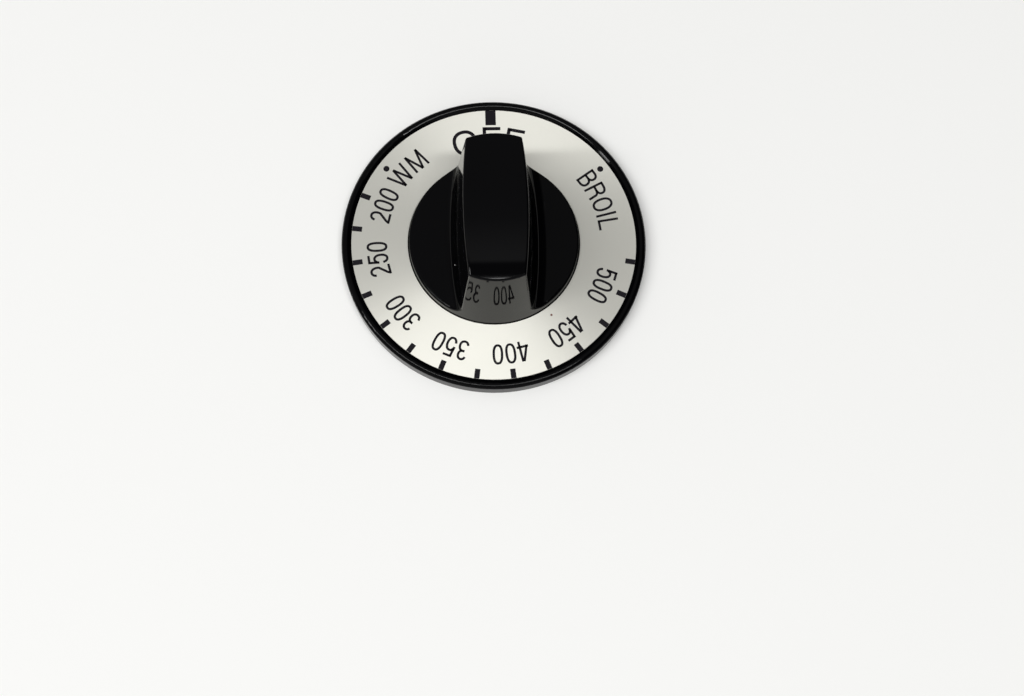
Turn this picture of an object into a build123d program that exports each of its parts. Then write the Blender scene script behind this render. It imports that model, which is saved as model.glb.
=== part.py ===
from build123d import *
import math
import os

# Dial knob of an oven temperature control, in millimetres and degrees.
# The origin is the centre of the back rim, +Z points out of the dial and +Y points at the OFF mark.

# Skirt, the round disc that carries the printed plate
dial_diameter = 57.15          # across the rim at its widest, 2-1/4 in
plate_face_height = 2.8        # back rim to the plate's face
rim_width = 1.74               # from its outside to the plate's recess
rim_rise = 0.4                 # its crest, above the plate
rim_round = 0.8                # its crest; a bevel runs on from there down to the plate
rim_bevel = 33.0               # its outside below the crest, from upright
skirt_draft = 1.0              # the side leans in from the widest line towards the back
skirt_wall = 1.7               # foot of the rim, at the back
skirt_floor = 1.1              # web under the plate

# Dial plate, a flat aluminium ring
plate_thickness = 0.5
plate_clearance = 0.1          # round the plate, to the rim and to the hub

# Hub and grip, which share one tapered end wall
hub_diameter = 32.1            # at the plate's face
end_draft = 6.1
wing_height = 1.6              # flat wings beside the grip, above the plate
wing_floor = 2.0
hub_wall = 2.0
grip_height = 21.1             # top of the crown, above the plate
crown_radius = 55.0            # the grip's top is arched from end to end
grip_width = 11.65             # at the top, halfway along
grip_side_radius = 92.0        # the sides are slightly barrelled in plan
grip_side_draft = 5.5
grip_foot_round = 2.8
edge_round = 0.45

# Cored pockets in the grip, either side of the boss
pocket_width = 7.6             # at the mouth
pocket_corner = 0.8            # bevelled upright corners
pocket_draft = 1.0
grip_roof = 2.6                # wall left above a pocket
grip_end_wall = 2.1            # wall left at a pocket's mouth

# Boss with a D socket for a quarter-inch stem
boss_diameter = 10.8
boss_setback = 0.6             # the boss stops short of the back rim
socket_diameter = 6.5
socket_flat = 2.45             # stem axis to the flat
socket_depth = 16.5
rib_thickness = 1.4

# Spring leaf that presses on the stem's flat
leaf_thickness = 0.4
leaf_width = 3.8
leaf_length = 10.5             # along the socket
leaf_reach = 0.4               # its middle stands this far past the flat
leaf_landing = 1.8             # straight stretch at its ends and middle
leaf_foot = 1.5                # folded over the boss's end face
leaf_fold_radius = 0.7
leaf_bow_radius = 2.0
leaf_slot_depth = 0.85         # behind the flat
leaf_clearance = 0.1

# Levels and radii that follow
dial_radius = dial_diameter / 2
seat_height = plate_face_height - plate_thickness
rim_inner_radius = dial_radius - rim_width
rim_centre_radius = dial_radius - rim_round
rim_centre_height = plate_face_height + rim_rise - rim_round
side_height = rim_centre_height + rim_round * math.tan(math.radians(rim_bevel / 2))
back_radius = dial_radius - side_height * math.tan(math.radians(skirt_draft))
wing_top = plate_face_height + wing_height
grip_top = plate_face_height + grip_height
recess_height = seat_height - skirt_floor
cavity_height = wing_top - wing_floor
leaf_seat = socket_flat + leaf_slot_depth
on_base = (Align.CENTER, Align.CENTER, Align.MIN)


def hub_radius(height):
    # the hub and the grip's two ends are one cone
    return hub_diameter / 2 - (height - plate_face_height) * math.tan(math.radians(end_draft))


def hub_cone(low, high, inset=0.0):
    cone = Cone(hub_radius(low) - inset, hub_radius(high) - inset, high - low, align=on_base)
    return Pos(0, 0, low) * cone


def make_skirt():
    # solid disc with a recessed seat for the plate; the rim's round meets both its bevels on a tangent
    run = rim_centre_radius - rim_inner_radius
    rise = plate_face_height - rim_centre_height
    inner_bevel = math.degrees(math.asin(rim_round / math.hypot(run, rise)) - math.atan2(rise, run))
    crest_angle = 90 - rim_bevel + inner_bevel
    rim = CenterArc((rim_centre_radius, rim_centre_height), rim_round, rim_bevel, crest_angle)
    outline = Polyline(
        rim @ 1,
        (rim_inner_radius, plate_face_height),
        (rim_inner_radius, seat_height),
        (0, seat_height),
        (0, 0),
        (back_radius, 0),
        (dial_radius, side_height),
        rim @ 0,
    )
    return revolve(Plane.XZ * make_face([rim, outline]), Axis.Z)


def make_grip_side():
    # turned about a far upright axis: a drafted wall that runs out, through a round, into the flat wing
    flare = (grip_top - wing_top) * math.tan(math.radians(grip_side_draft))
    wing_reach = grip_side_radius + hub_diameter
    outline = Polyline(
        (0, recess_height),
        (wing_reach, recess_height),
        (wing_reach, wing_top),
        (grip_side_radius + flare, wing_top),
        (grip_side_radius, grip_top),
        (0, grip_top),
        close=True,
    )
    section = make_face(outline)
    foot = section.vertices().sort_by_distance((grip_side_radius + flare, wing_top))[0]
    section = fillet(foot, grip_foot_round)
    return revolve(Plane.XZ * section, Axis.Z)


def make_hub():
    # one cone, left standing between the two sides and under the arched top
    crown = Rot(0, 90, 0) * Cylinder(crown_radius, 2 * hub_diameter)
    side = make_grip_side()
    shift = grip_side_radius - grip_width / 2
    hub = hub_cone(recess_height, grip_top) & Pos(0, 0, grip_top - crown_radius) * crown
    hub = hub & Pos(-shift, 0, 0) * side & Pos(shift, 0, 0) * side

    end_wall = hub.faces().filter_by(GeomType.CONE).sort_by(SortBy.AREA)[-1].edges()
    arch = hub.faces().filter_by(GeomType.CYLINDER)[0].edges()
    sharp_edges = [
        edge
        for edge in hub.edges()
        if (edge in end_wall or edge in arch)
        and edge.geom_type != GeomType.LINE
        and edge.center().Z > plate_face_height
    ]
    return fillet(sharp_edges, edge_round)


def make_pocket():
    # cored from the back, towards +Y
    crown_drop = crown_radius - math.sqrt(crown_radius**2 - hub_radius(grip_top) ** 2)
    depth = grip_top - crown_drop - grip_roof - recess_height
    near = boss_diameter / 2
    far = hub_radius(recess_height + depth) - grip_end_wall
    plan = Rectangle(pocket_width, far - near)
    plan = Pos(0, (near + far) / 2) * chamfer(plan.vertices(), pocket_corner)
    return Pos(0, 0, recess_height) * extrude(plan, depth, taper=pocket_draft)


def make_socket():
    # D bore and the leaf's slot behind its flat, both open at the boss's end face
    flat_cut = Pos(0, socket_flat + socket_diameter / 2) * Rectangle(socket_diameter, socket_diameter)
    bore = Pos(0, 0, boss_setback) * extrude(Circle(socket_diameter / 2) - flat_cut, socket_depth)
    slot_top = boss_setback + leaf_length + leaf_clearance
    slot = Polyline(
        (socket_flat, boss_setback),
        (leaf_seat + leaf_fold_radius, boss_setback),
        (leaf_seat, boss_setback + leaf_fold_radius),
        (leaf_seat, slot_top),
        (socket_flat, slot_top),
        close=True,
    )
    slot_half = leaf_width / 2 + leaf_clearance
    return bore + extrude(Plane.YZ * make_face(slot), slot_half, both=True)


def make_knob_body():
    knob = make_skirt() + make_hub()
    knob -= Cylinder(back_radius - skirt_wall, recess_height, align=on_base)
    knob -= hub_cone(recess_height, cavity_height, hub_wall)
    boss_height = cavity_height - boss_setback
    knob += Pos(0, 0, boss_setback) * Cylinder(boss_diameter / 2, boss_height, align=on_base)
    rib_span = 2 * (hub_radius(recess_height) - hub_wall / 2)
    rib_height = cavity_height - recess_height
    knob += Pos(0, 0, recess_height) * Box(rib_span, rib_thickness, rib_height, align=on_base)
    pocket = make_pocket()
    knob -= pocket + Rot(0, 0, 180) * pocket
    return knob - make_socket()


def make_dial_plate():
    outer = rim_inner_radius - plate_clearance
    inner = hub_radius(seat_height) + plate_clearance
    return Pos(0, 0, seat_height) * extrude(Circle(outer) - Circle(inner), plate_thickness)


def make_stem_leaf():
    # strip with a folded foot, bowed into the socket, its ends flat against the slot
    seat = leaf_seat - leaf_thickness / 2
    bow = socket_flat - leaf_reach + leaf_thickness / 2
    fold = boss_setback - leaf_thickness / 2
    tip = boss_setback + leaf_length
    middle = boss_setback + leaf_length / 2
    path = FilletPolyline(
        (seat + leaf_foot, fold),
        (seat, fold),
        (seat, boss_setback + leaf_landing),
        (bow, middle - leaf_landing / 2),
        (bow, middle + leaf_landing / 2),
        (seat, tip - leaf_landing),
        (seat, tip),
        radius=[leaf_fold_radius] + 4 * [leaf_bow_radius],
    )
    strip = trace(path, leaf_thickness)
    return extrude(Plane.YZ * strip, leaf_width / 2, both=True)


os.makedirs("parts", exist_ok=True)
nodes = {
    "knob_body": make_knob_body(),
    "dial_plate": make_dial_plate(),
    "stem_leaf": make_stem_leaf(),
}
for name, node in nodes.items():
    export_step(node, f"parts/{name}.step")
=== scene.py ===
import math
from types import SimpleNamespace
import bpy
import numpy as np
from mathutils import Matrix, Vector


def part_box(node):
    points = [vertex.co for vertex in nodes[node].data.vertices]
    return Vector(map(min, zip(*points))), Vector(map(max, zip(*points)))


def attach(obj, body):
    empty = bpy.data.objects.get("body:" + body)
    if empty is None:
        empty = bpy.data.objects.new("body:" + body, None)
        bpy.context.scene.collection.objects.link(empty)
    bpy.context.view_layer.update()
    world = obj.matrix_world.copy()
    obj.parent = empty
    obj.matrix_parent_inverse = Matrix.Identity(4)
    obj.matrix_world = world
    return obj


# Oven dial knob: the CAD pieces keep their form, this script gives them their finish and prints the dial.
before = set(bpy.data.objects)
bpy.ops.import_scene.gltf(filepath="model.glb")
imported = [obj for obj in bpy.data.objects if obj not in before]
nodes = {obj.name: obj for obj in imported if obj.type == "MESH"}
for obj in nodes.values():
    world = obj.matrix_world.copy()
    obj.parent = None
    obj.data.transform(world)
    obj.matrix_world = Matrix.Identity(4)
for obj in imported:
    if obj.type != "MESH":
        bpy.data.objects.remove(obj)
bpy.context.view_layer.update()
mm = 0.001
scene = bpy.context.scene
scene.view_settings.view_transform = "Standard"
print("frame loaded:", ", ".join(sorted(nodes)))


def linearColor(hexText):
    # sRGB to linear: a straight line near black, a 2.4 power above it
    srgb = np.array([int(hexText[i:i + 2], 16) for i in (1, 3, 5)]) / 255
    linear = np.where(srgb <= 0.04045, srgb / 12.92, ((srgb + 0.055) / 1.055) ** 2.4)
    return (*linear.tolist(), 1.0)


def addNode(tree, kind, values=None, links=None, **settings):
    node = tree.nodes.new(kind)
    for name, value in settings.items():
        setattr(node, name, value)
    for socket, value in (values or {}).items():
        node.inputs[socket].default_value = value
    for socket, source in (links or {}).items():
        tree.links.new(source, node.inputs[socket])
    return node


def startMaterial(name, values):
    material = bpy.data.materials.new(name)
    material.use_nodes = True
    tree = material.node_tree
    tree.nodes.clear()
    shader = addNode(tree, "ShaderNodeBsdfPrincipled", values)
    addNode(tree, "ShaderNodeOutputMaterial", links={"Surface": shader.outputs["BSDF"]})
    place = addNode(tree, "ShaderNodeTexCoord").outputs["Object"]
    return material, tree, shader, place


speckEdge = 0.3                  # how soft a speck's edge is, as a share of its radius


def addSpeck(tree, place, speck, plainColor):
    # a fleck of dirt: its colour inside a ball round its place, the plain colour outside
    middle = Vector(speck["at"]) * mm
    radius = speck["radius"] * mm
    gap = addNode(tree, "ShaderNodeVectorMath", {1: middle}, {0: place}, operation="DISTANCE")
    inside = addNode(
        tree, "ShaderNodeMapRange",
        {"From Min": radius * (1 + speckEdge), "From Max": radius * (1 - speckEdge)},
        {"Value": gap.outputs["Value"]},
    )
    mix = addNode(
        tree, "ShaderNodeMix", {6: plainColor, 7: linearColor(speck["color"])},
        {"Factor": inside.outputs["Result"]}, data_type="RGBA",
    )
    return mix.outputs[2]


# Black moulding: a glossy phenolic, so almost no colour of its own and clear reflections
moulding = {
    "color": "#020203",
    "index": 1.14,               # lower than the resin's own, for blacks as deep as the photograph's
    "sheen": 1.0,
    "gloss": 0.05,
    "swellWidth": 1.6,           # mm across a swell of the moulded surface
    "swellHeight": 0.02,         # mm
    "swellStrength": 0.02,
    "speck": {"at": (-7.46, -5.54, 6.21), "radius": 0.13, "color": "#d9d9d6"},
}


def glossyPhenolic():
    material, tree, shader, place = startMaterial(
        "glossy black phenolic",
        {"IOR": moulding["index"], "Specular IOR Level": moulding["sheen"], "Roughness": moulding["gloss"]},
    )
    swell = addNode(
        tree, "ShaderNodeTexNoise", {"Scale": 1 / (moulding["swellWidth"] * mm), "Detail": 2.0},
        {"Vector": place},
    )
    bump = addNode(
        tree, "ShaderNodeBump",
        {"Strength": moulding["swellStrength"], "Distance": moulding["swellHeight"] * mm},
        {"Height": swell.outputs["Fac"]},
    )
    color = addSpeck(tree, place, moulding["speck"], linearColor(moulding["color"]))
    tree.links.new(color, shader.inputs["Base Color"])
    tree.links.new(bump.outputs["Normal"], shader.inputs["Normal"])
    return material


# Dial plate: aluminium spun under an abrasive, so the light spreads across the rings into a fan
plateFinish = {
    "color": "#e4e3da",
    "metal": 0.66,               # the rest scatters evenly, as a fine matt film does
    "roughness": 0.45,
    "ringShine": 0.03,           # roughness either way, from ring to ring
    "spread": 0.785,
    "ringWidth": 0.22,           # mm; the real rings are finer than a pixel, drawn this coarse to show
    "speck": {"at": (10.29, -14.53, 2.80), "radius": 0.2, "color": "#6e3f33"},
}


def spunAluminium():
    material, tree, shader, place = startMaterial(
        "spun aluminium", {"Metallic": plateFinish["metal"], "Anisotropic": plateFinish["spread"]}
    )
    flat = addNode(tree, "ShaderNodeVectorMath", {1: (1.0, 1.0, 0.0)}, {0: place}, operation="MULTIPLY")
    outward = addNode(tree, "ShaderNodeVectorMath", links={0: flat.outputs["Vector"]}, operation="NORMALIZE")
    radius = addNode(tree, "ShaderNodeVectorMath", links={0: flat.outputs["Vector"]}, operation="LENGTH")
    rings = addNode(
        tree, "ShaderNodeTexNoise", {"Scale": 1 / (plateFinish["ringWidth"] * mm), "Detail": 3.0},
        {"W": radius.outputs["Value"]}, noise_dimensions="1D",
    )
    dullest = plateFinish["roughness"] + plateFinish["ringShine"]
    brightest = plateFinish["roughness"] - plateFinish["ringShine"]
    shine = addNode(
        tree, "ShaderNodeMapRange", {"To Min": brightest, "To Max": dullest}, {"Value": rings.outputs["Fac"]}
    )
    color = addSpeck(tree, place, plateFinish["speck"], linearColor(plateFinish["color"]))
    tree.links.new(color, shader.inputs["Base Color"])
    tree.links.new(shine.outputs["Result"], shader.inputs["Roughness"])
    tree.links.new(outward.outputs["Vector"], shader.inputs["Tangent"])
    return material


# Print: a matt screen ink, a little thinner here and there
inkFinish = {
    "thick": "#0c0a0f",
    "thin": "#16121a",
    "patch": 0.5,                # mm across a thin place
    "roughness": 0.45,
    "sheen": 0.15,
}


def screenInk():
    material, tree, shader, place = startMaterial(
        "black screen ink", {"Roughness": inkFinish["roughness"], "Specular IOR Level": inkFinish["sheen"]}
    )
    film = addNode(
        tree, "ShaderNodeTexNoise", {"Scale": 1 / (inkFinish["patch"] * mm), "Detail": 3.0}, {"Vector": place}
    )
    color = addNode(
        tree, "ShaderNodeMix", {6: linearColor(inkFinish["thick"]), 7: linearColor(inkFinish["thin"])},
        {"Factor": film.outputs["Fac"]}, data_type="RGBA",
    )
    tree.links.new(color.outputs[2], shader.inputs["Base Color"])
    return material


# Stem leaf: spring steel strip, rolled along its length, so its shine is streaked that way
leafFinish = {
    "color": "#8d8b87",
    "streakWidth": 0.12,         # mm
    "streakLength": 2.0,         # mm
    "brightest": 0.24,           # roughness
    "dullest": 0.42,
}


def rolledSpringSteel():
    material, tree, shader, place = startMaterial(
        "rolled spring steel", {"Metallic": 1.0, "Base Color": linearColor(leafFinish["color"])}
    )
    across = 1 / (leafFinish["streakWidth"] * mm)
    lengthwise = 1 / (leafFinish["streakLength"] * mm)
    along = addNode(tree, "ShaderNodeMapping", {"Scale": (across, lengthwise, lengthwise)}, {0: place})
    drawn = addNode(
        tree, "ShaderNodeTexNoise", {"Scale": 1.0, "Detail": 3.0}, {"Vector": along.outputs["Vector"]}
    )
    shine = addNode(
        tree, "ShaderNodeMapRange", {"To Min": leafFinish["brightest"], "To Max": leafFinish["dullest"]},
        {"Value": drawn.outputs["Fac"]},
    )
    tree.links.new(shine.outputs["Result"], shader.inputs["Roughness"])
    return material


def dress(node, material):
    node.data.materials.clear()
    node.data.materials.append(material)


dress(nodes["knob_body"], glossyPhenolic())
dress(nodes["dial_plate"], spunAluminium())
dress(nodes["stem_leaf"], rolledSpringSteel())
ink = screenInk()
print("finishes on:", ", ".join(node.data.materials[0].name for node in nodes.values()))


# Print. Angles run clockwise from the OFF mark at +Y, sizes are in mm
inkFilm = {"proud": 0.02, "sunk": 0.01}
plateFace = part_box("dial_plate")[1].z / mm
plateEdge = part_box("dial_plate")[1].x / mm


def onDial(points, angle, base):
    # a flat figure stands on a circle: its x runs clockwise along it, its y outwards from the base radius
    turn = math.radians(angle)
    along = np.array([math.cos(turn), -math.sin(turn)])
    outward = np.array([math.sin(turn), math.cos(turn)])
    return points[:, :1] * along + (points[:, 1:] + base) * outward


def ribbon(path, width, closed=False):
    # a flat bar carried along the path: each point gives four corners, half a width to either side;
    # the width is one number, or one for each point
    if closed:
        step = np.roll(path, -1, axis=0) - np.roll(path, 1, axis=0)
    else:
        step = np.gradient(path, axis=0)
    step /= np.linalg.norm(step, axis=1, keepdims=True)
    side = np.column_stack([-step[:, 1], step[:, 0]]) * np.reshape(width, (-1, 1)) / 2
    count = len(path)
    top = np.full((count, 1), plateFace + inkFilm["proud"])
    low = np.full((count, 1), plateFace - inkFilm["sunk"])
    left, right = path + side, path - side
    section = [(left, top), (left, low), (right, low), (right, top)]
    corners = np.stack([np.hstack(corner) for corner in section], axis=1)
    here = np.arange(count if closed else count - 1)
    there = (here + 1) % count
    faces = [
        np.column_stack([here * 4 + k, there * 4 + k, there * 4 + (k + 1) % 4, here * 4 + (k + 1) % 4])
        for k in range(4)
    ]
    if not closed:
        last = 4 * (count - 1)
        faces.append(np.array([[0, 1, 2, 3], [last + 3, last + 2, last + 1, last]]))
    return corners.reshape(-1, 3), np.vstack(faces)


def printPiece(name, parts):
    # joins the ribbons of one group into one mesh
    starts = np.cumsum([0] + [len(corners) for corners, _ in parts])
    corners = np.vstack([corners for corners, _ in parts]) * mm
    faces = np.vstack([faces + start for (_, faces), start in zip(parts, starts)])
    mesh = bpy.data.meshes.new(name)
    mesh.from_pydata(corners.tolist(), [], faces.tolist())
    mesh.materials.append(ink)
    mesh.validate()
    piece = bpy.data.objects.new(name, mesh)
    scene.collection.objects.link(piece)
    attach(piece, "root")
    print("printed", name, "with", len(faces), "faces")


scale = {
    "first": 99.75,              # degrees to the 525 tick
    "step": 14.772,              # between ticks of 25 degrees of heat
    "count": 14,
    "width": 1.0,
    "inner": 24.9,
    "offWidth": 2.0,
    "offInner": 23.7,
    "edgeGap": 0.02,
}


def bar(angle, inner, outer, width):
    return ribbon(onDial(np.array([[0.0, inner], [0.0, outer]]), angle, 0.0), width)


tickAngles = scale["first"] + scale["step"] * np.arange(scale["count"])
tickOuter = plateEdge - scale["edgeGap"]
printPiece("dial_ticks", [bar(angle, scale["inner"], tickOuter, scale["width"]) for angle in tickAngles])
printPiece("off_mark", [bar(0.0, scale["offInner"], tickOuter, scale["offWidth"])])


dots = {
    "radius": 0.58,
    "at": 25.1,
    "angles": (55.2, 307.1),
    "tip": 5,                    # degrees left out at either end, where the chord comes to nothing
    "steps": 35,
}


def dot(angle):
    # a disc, as a bar across it that is as wide as the chord at each point
    turn = np.radians(np.linspace(dots["tip"], 180 - dots["tip"], dots["steps"]))
    across = np.column_stack([-np.cos(turn), np.zeros_like(turn)]) * dots["radius"]
    return ribbon(onDial(across, angle, dots["at"]), 2 * dots["radius"] * np.sin(turn))


printPiece("dial_dots", [dot(angle) for angle in dots["angles"]])


# Letters of a light narrow face. Each function gives a letter's strokes as middle lines inside its box
def letterBox(width, height, stroke):
    half = stroke / 2
    return SimpleNamespace(
        width=width, height=height, stroke=stroke, half=half, middle=width / 2,
        left=half, right=width - half, low=half, top=height - half,
    )


def line(*points):
    return np.array(points, float)


def bow(middle, reach, start, end, fullness=2.2, count=28):
    # part of a superellipse: fullness 2 is an ellipse, more is squarer
    turn = np.radians(np.linspace(start, end, count))
    power = 2 / fullness
    wave = np.column_stack([np.cos(turn), np.sin(turn)])
    return np.array(middle) + np.array(reach) * np.sign(wave) * np.abs(wave) ** power


def ring(box, fullness):
    # a closed stroke: the last point is the first again, so it is left off
    reach = (box.width - box.stroke) / 2, (box.height - box.stroke) / 2
    return [bow((box.middle, box.height / 2), reach, 0, 360, fullness, 65)[:-1]]


def figureZero(box):
    return ring(box, 2.5)


def letterO(box):
    return ring(box, 2.3)


def figureTwo(box):
    rise = 0.27 * box.height
    hook = bow((box.middle, box.top - rise), (box.middle - box.half, rise), 168, -28)
    slope = (box.left + 0.1 * box.width, box.low + box.stroke)
    return [np.vstack([hook, [slope, (box.left, box.low)]]), line((0, box.low), (box.width, box.low))]


def figureThree(box):
    waist = 0.53 * box.height
    reach = box.middle - box.half
    upperReach = reach - 0.04 * box.width, (box.top - waist) / 2
    upper = bow((box.middle, (box.top + waist) / 2), upperReach, 165, -90)
    lower = bow((box.middle, (box.low + waist) / 2), (reach, (waist - box.low) / 2), 90, -165)
    return [upper, lower, line((0.32 * box.width, waist), (box.middle, waist))]


def figureFour(box):
    post, shelf = 0.74 * box.width, 0.28 * box.height
    return [
        line((post, 0), (post, box.height)),
        line((0, shelf), (box.width, shelf)),
        line((box.half, shelf - box.half), (post - box.half, box.height)),
    ]


def figureFive(box):
    neck, rise = 0.46 * box.height, 0.31 * box.height
    return [
        line((0.16 * box.width, box.top), (0.94 * box.width, box.top)),
        line((0.22 * box.width, box.height), (0.13 * box.width, neck)),
        bow((box.middle, box.low + rise), (box.middle - box.half, rise), 148, -165),
    ]


def stemAndBowl(box, waist, knee):
    # what B and R share: the stem, and a bowl from its top back to it at the waist
    reach = box.right - knee - 0.03 * box.width, (box.top - waist) / 2
    bowl = bow((knee, (box.top + waist) / 2), reach, 90, -90, 2.3)
    stem = line((box.left, 0), (box.left, box.height))
    return [stem, np.vstack([[(box.left, box.top)], bowl, [(box.left, waist)]])]


def letterB(box):
    waist, knee = 0.53 * box.height, 0.42 * box.width
    reach = box.right - knee, (waist - box.low) / 2
    lower = bow((knee, (waist + box.low) / 2), reach, 90, -90, 2.3)
    return stemAndBowl(box, waist, knee) + [np.vstack([lower, [(box.left, box.low)]])]


def letterR(box):
    waist, knee, bend = 0.53 * box.height, 0.42 * box.width, 0.2 * box.height
    leg = bow((knee, waist - bend), (box.right - knee - 0.06 * box.width, bend), 90, 0, 2.3)
    return stemAndBowl(box, waist, knee) + [np.vstack([leg, [(box.right, 0)]])]


def letterI(box):
    return [line((box.middle, 0), (box.middle, box.height))]


def letterL(box):
    return [line((box.left, 0), (box.left, box.height)), line((box.left, box.low), (box.width, box.low))]


def letterF(box):
    waist = 0.54 * box.height
    return [
        line((box.left, 0), (box.left, box.height)),
        line((box.left, box.top), (box.width, box.top)),
        line((box.left, waist), (0.9 * box.width, waist)),
    ]


def zigzag(box, shares, heights):
    # four straight strokes from corner to corner, the corners at these shares of the width
    across = np.array(shares) * (box.width - box.stroke) + box.half
    corners = np.column_stack([across, heights])
    return [corners[k:k + 2] for k in range(4)]


def letterW(box):
    return zigzag(box, (0.0, 0.26, 0.5, 0.74, 1.0), (box.height, 0, box.height, 0, box.height))


def letterM(box):
    return zigzag(box, (0.0, 0.06, 0.5, 0.94, 1.0), (0, box.height, 0, box.height, 0))


letterShapes = {
    "0": figureZero, "2": figureTwo, "3": figureThree, "4": figureFour, "5": figureFive,
    "B": letterB, "R": letterR, "O": letterO, "I": letterI, "L": letterL,
    "F": letterF, "W": letterW, "M": letterM,
}
roundLetters = "0O"
letterStyles = {
    "figures": {"height": 3.9, "stroke": 0.45, "base": 20.0},
    "off": {"height": 5.1, "stroke": 0.66, "base": 18.2},
}
letterWidths = {
    "0": 1.98, "2": 1.95, "3": 1.95, "4": 2.15, "5": 1.95,
    "B": 2.2, "R": 2.4, "O": 2.55, "I": 0.5, "L": 2.05,
    "W": 4.2, "M": 3.35,
}
offWidths = {"O": 4.75, "F": 3.4}


def setLetter(letter, width, angle, style):
    box = letterBox(width, style["height"], style["stroke"])
    parts = []
    for path in letterShapes[letter](box):
        centred = path - np.array([box.middle, 0.0])
        placed = onDial(centred, angle, style["base"])
        parts.append(ribbon(placed, box.stroke, letter in roundLetters))
    return parts


def setWord(text, angles, widths, style):
    parts = []
    for letter, angle in zip(text, angles):
        parts += setLetter(letter, widths[letter], angle, letterStyles[style])
    return parts


figures = {
    "top": 525,                  # heat at the first tick
    "step": 25,                  # from tick to tick; every second tick has its figure
    "advance": 6.25,             # degrees from one figure to the next
    "nudge": -0.2,               # degrees, from the tick
    "nudges": {"500": -0.45, "300": -0.75, "250": 0.15, "200": -1.2},
}
words = {
    "broil": ("BROIL", (55.65, 63.25, 71.0, 76.5, 81.65)),
    "warm": ("WM", (308.25, 319.35)),
}
offAngles = (-13.8, 0.3, 12.2)

figureParts = []
for k in range(1, scale["count"], 2):
    text = str(figures["top"] - figures["step"] * k)
    middle = tickAngles[k] + figures["nudges"].get(text, figures["nudge"])
    angles = middle + figures["advance"] * np.array([-1, 0, 1])
    figureParts += setWord(text, angles, letterWidths, "figures")
printPiece("dial_figures", figureParts)
for name, (text, angles) in words.items():
    printPiece(name + "_word", setWord(text, angles, letterWidths, "figures"))
printPiece("off_word", setWord("OFF", offAngles, offWidths, "off"))


# Stage: a sheet of white card
card = {"color": "#f3f3f1", "width": 3000, "roughness": 0.9, "sheen": 0.2}


def layCard():
    finish = {
        "Base Color": linearColor(card["color"]),
        "Roughness": card["roughness"],
        "Specular IOR Level": card["sheen"],
    }
    half = card["width"] / 2 * mm
    corners = [(-half, -half, 0), (half, -half, 0), (half, half, 0), (-half, half, 0)]
    mesh = bpy.data.meshes.new("card")
    mesh.from_pydata(corners, [], [(0, 1, 2, 3)])
    mesh.materials.append(startMaterial("matt white card", finish)[0])
    floor = bpy.data.objects.new("card", mesh)
    scene.collection.objects.link(floor)


layCard()

# The photograph's viewpoint, by the angles and the distance from the point that is mid-frame
viewpoint = {
    "aim": (2.77, -20.77, 2.80),
    "tilt": 16.20,               # degrees from straight down
    "turn": -6.84,
    "roll": 5.36,
    "distance": 332.4,
    "lens": 63.28,               # for a sensor 36 mm wide
    "sensor": 36.0,
    "nearest": 10,               # mm from the camera to the first thing that it draws
}


def setCamera():
    tilt, turn, roll = (math.radians(viewpoint[name]) for name in ("tilt", "turn", "roll"))
    back = Vector((math.sin(turn) * math.sin(tilt), -math.cos(turn) * math.sin(tilt), math.cos(tilt)))
    right = Vector((math.cos(turn), math.sin(turn), 0.0))
    up = back.cross(right)
    rolledRight = right * math.cos(roll) + up * math.sin(roll)
    rolledUp = up * math.cos(roll) - right * math.sin(roll)
    data = bpy.data.cameras.new("camera")
    data.sensor_width = viewpoint["sensor"]
    data.lens = viewpoint["lens"]
    data.clip_start = viewpoint["nearest"] * mm
    camera = bpy.data.objects.new("camera", data)
    scene.collection.objects.link(camera)
    spot = (Vector(viewpoint["aim"]) + back * viewpoint["distance"]) * mm
    columns = Matrix((rolledRight, rolledUp, back)).transposed().to_4x4()
    camera.matrix_world = Matrix.Translation(spot) @ columns
    scene.camera = camera


setCamera()

# Light: a long lamp above, on the near side, and a bright room that is dim to the right and in a band
# overhead on the near side. A room level stands at a direction's Y, or X, from -1 to 1
lamp = {"at": (-500, -320, 1400), "length": 2140, "depth": 120, "power": 20.8}
room = {
    "level": 0.40,
    "depth": (
        (-1.0, 1.5), (-0.30, 1.5), (-0.22, 0.35), (-0.075, 0.35), (-0.05, 2.1),
        (0.03, 1.9), (0.25, 1.05), (0.45, 0.95), (0.75, 0.9), (1.0, 0.3),
    ),
    "width": ((-1.0, 0.3), (-0.9, 0.8), (-0.5, 1.0), (0.32, 1.0), (0.5, 0.12), (1.0, 0.05)),
}


def hangLamp():
    data = bpy.data.lights.new("key lamp", "AREA")
    data.shape = "RECTANGLE"
    data.size = lamp["length"] * mm
    data.size_y = lamp["depth"] * mm
    data.energy = lamp["power"]
    key = bpy.data.objects.new("key lamp", data)
    key.location = Vector(lamp["at"]) * mm
    scene.collection.objects.link(key)


def paintRoom():
    # brightness by direction: a ramp along Y, dimmed by a ramp along X
    world = bpy.data.worlds.new("room")
    world.use_nodes = True
    tree = world.node_tree
    toward = addNode(tree, "ShaderNodeTexCoord").outputs["Generated"]
    axes = addNode(tree, "ShaderNodeSeparateXYZ", links={0: toward})

    def ramp(axis, levels, gain):
        place = addNode(tree, "ShaderNodeMapRange", {"From Min": -1.0}, {"Value": axes.outputs[axis]})
        node = addNode(tree, "ShaderNodeValToRGB", links={"Fac": place.outputs["Result"]})
        stops = node.color_ramp.elements
        for k, (position, level) in enumerate(levels):
            stop = stops[k] if k < 2 else stops.new(1.0)
            stop.position = (position + 1) / 2
            stop.color = (level * gain, level * gain, level * gain, 1.0)
        return node.outputs["Color"]

    sky = tree.nodes["Background"]
    tree.links.new(ramp("Y", room["depth"], room["level"]), sky.inputs["Color"])
    tree.links.new(ramp("X", room["width"], 1.0), sky.inputs["Strength"])
    scene.world = world


hangLamp()
paintRoom()
print("stage, camera and lamps set")
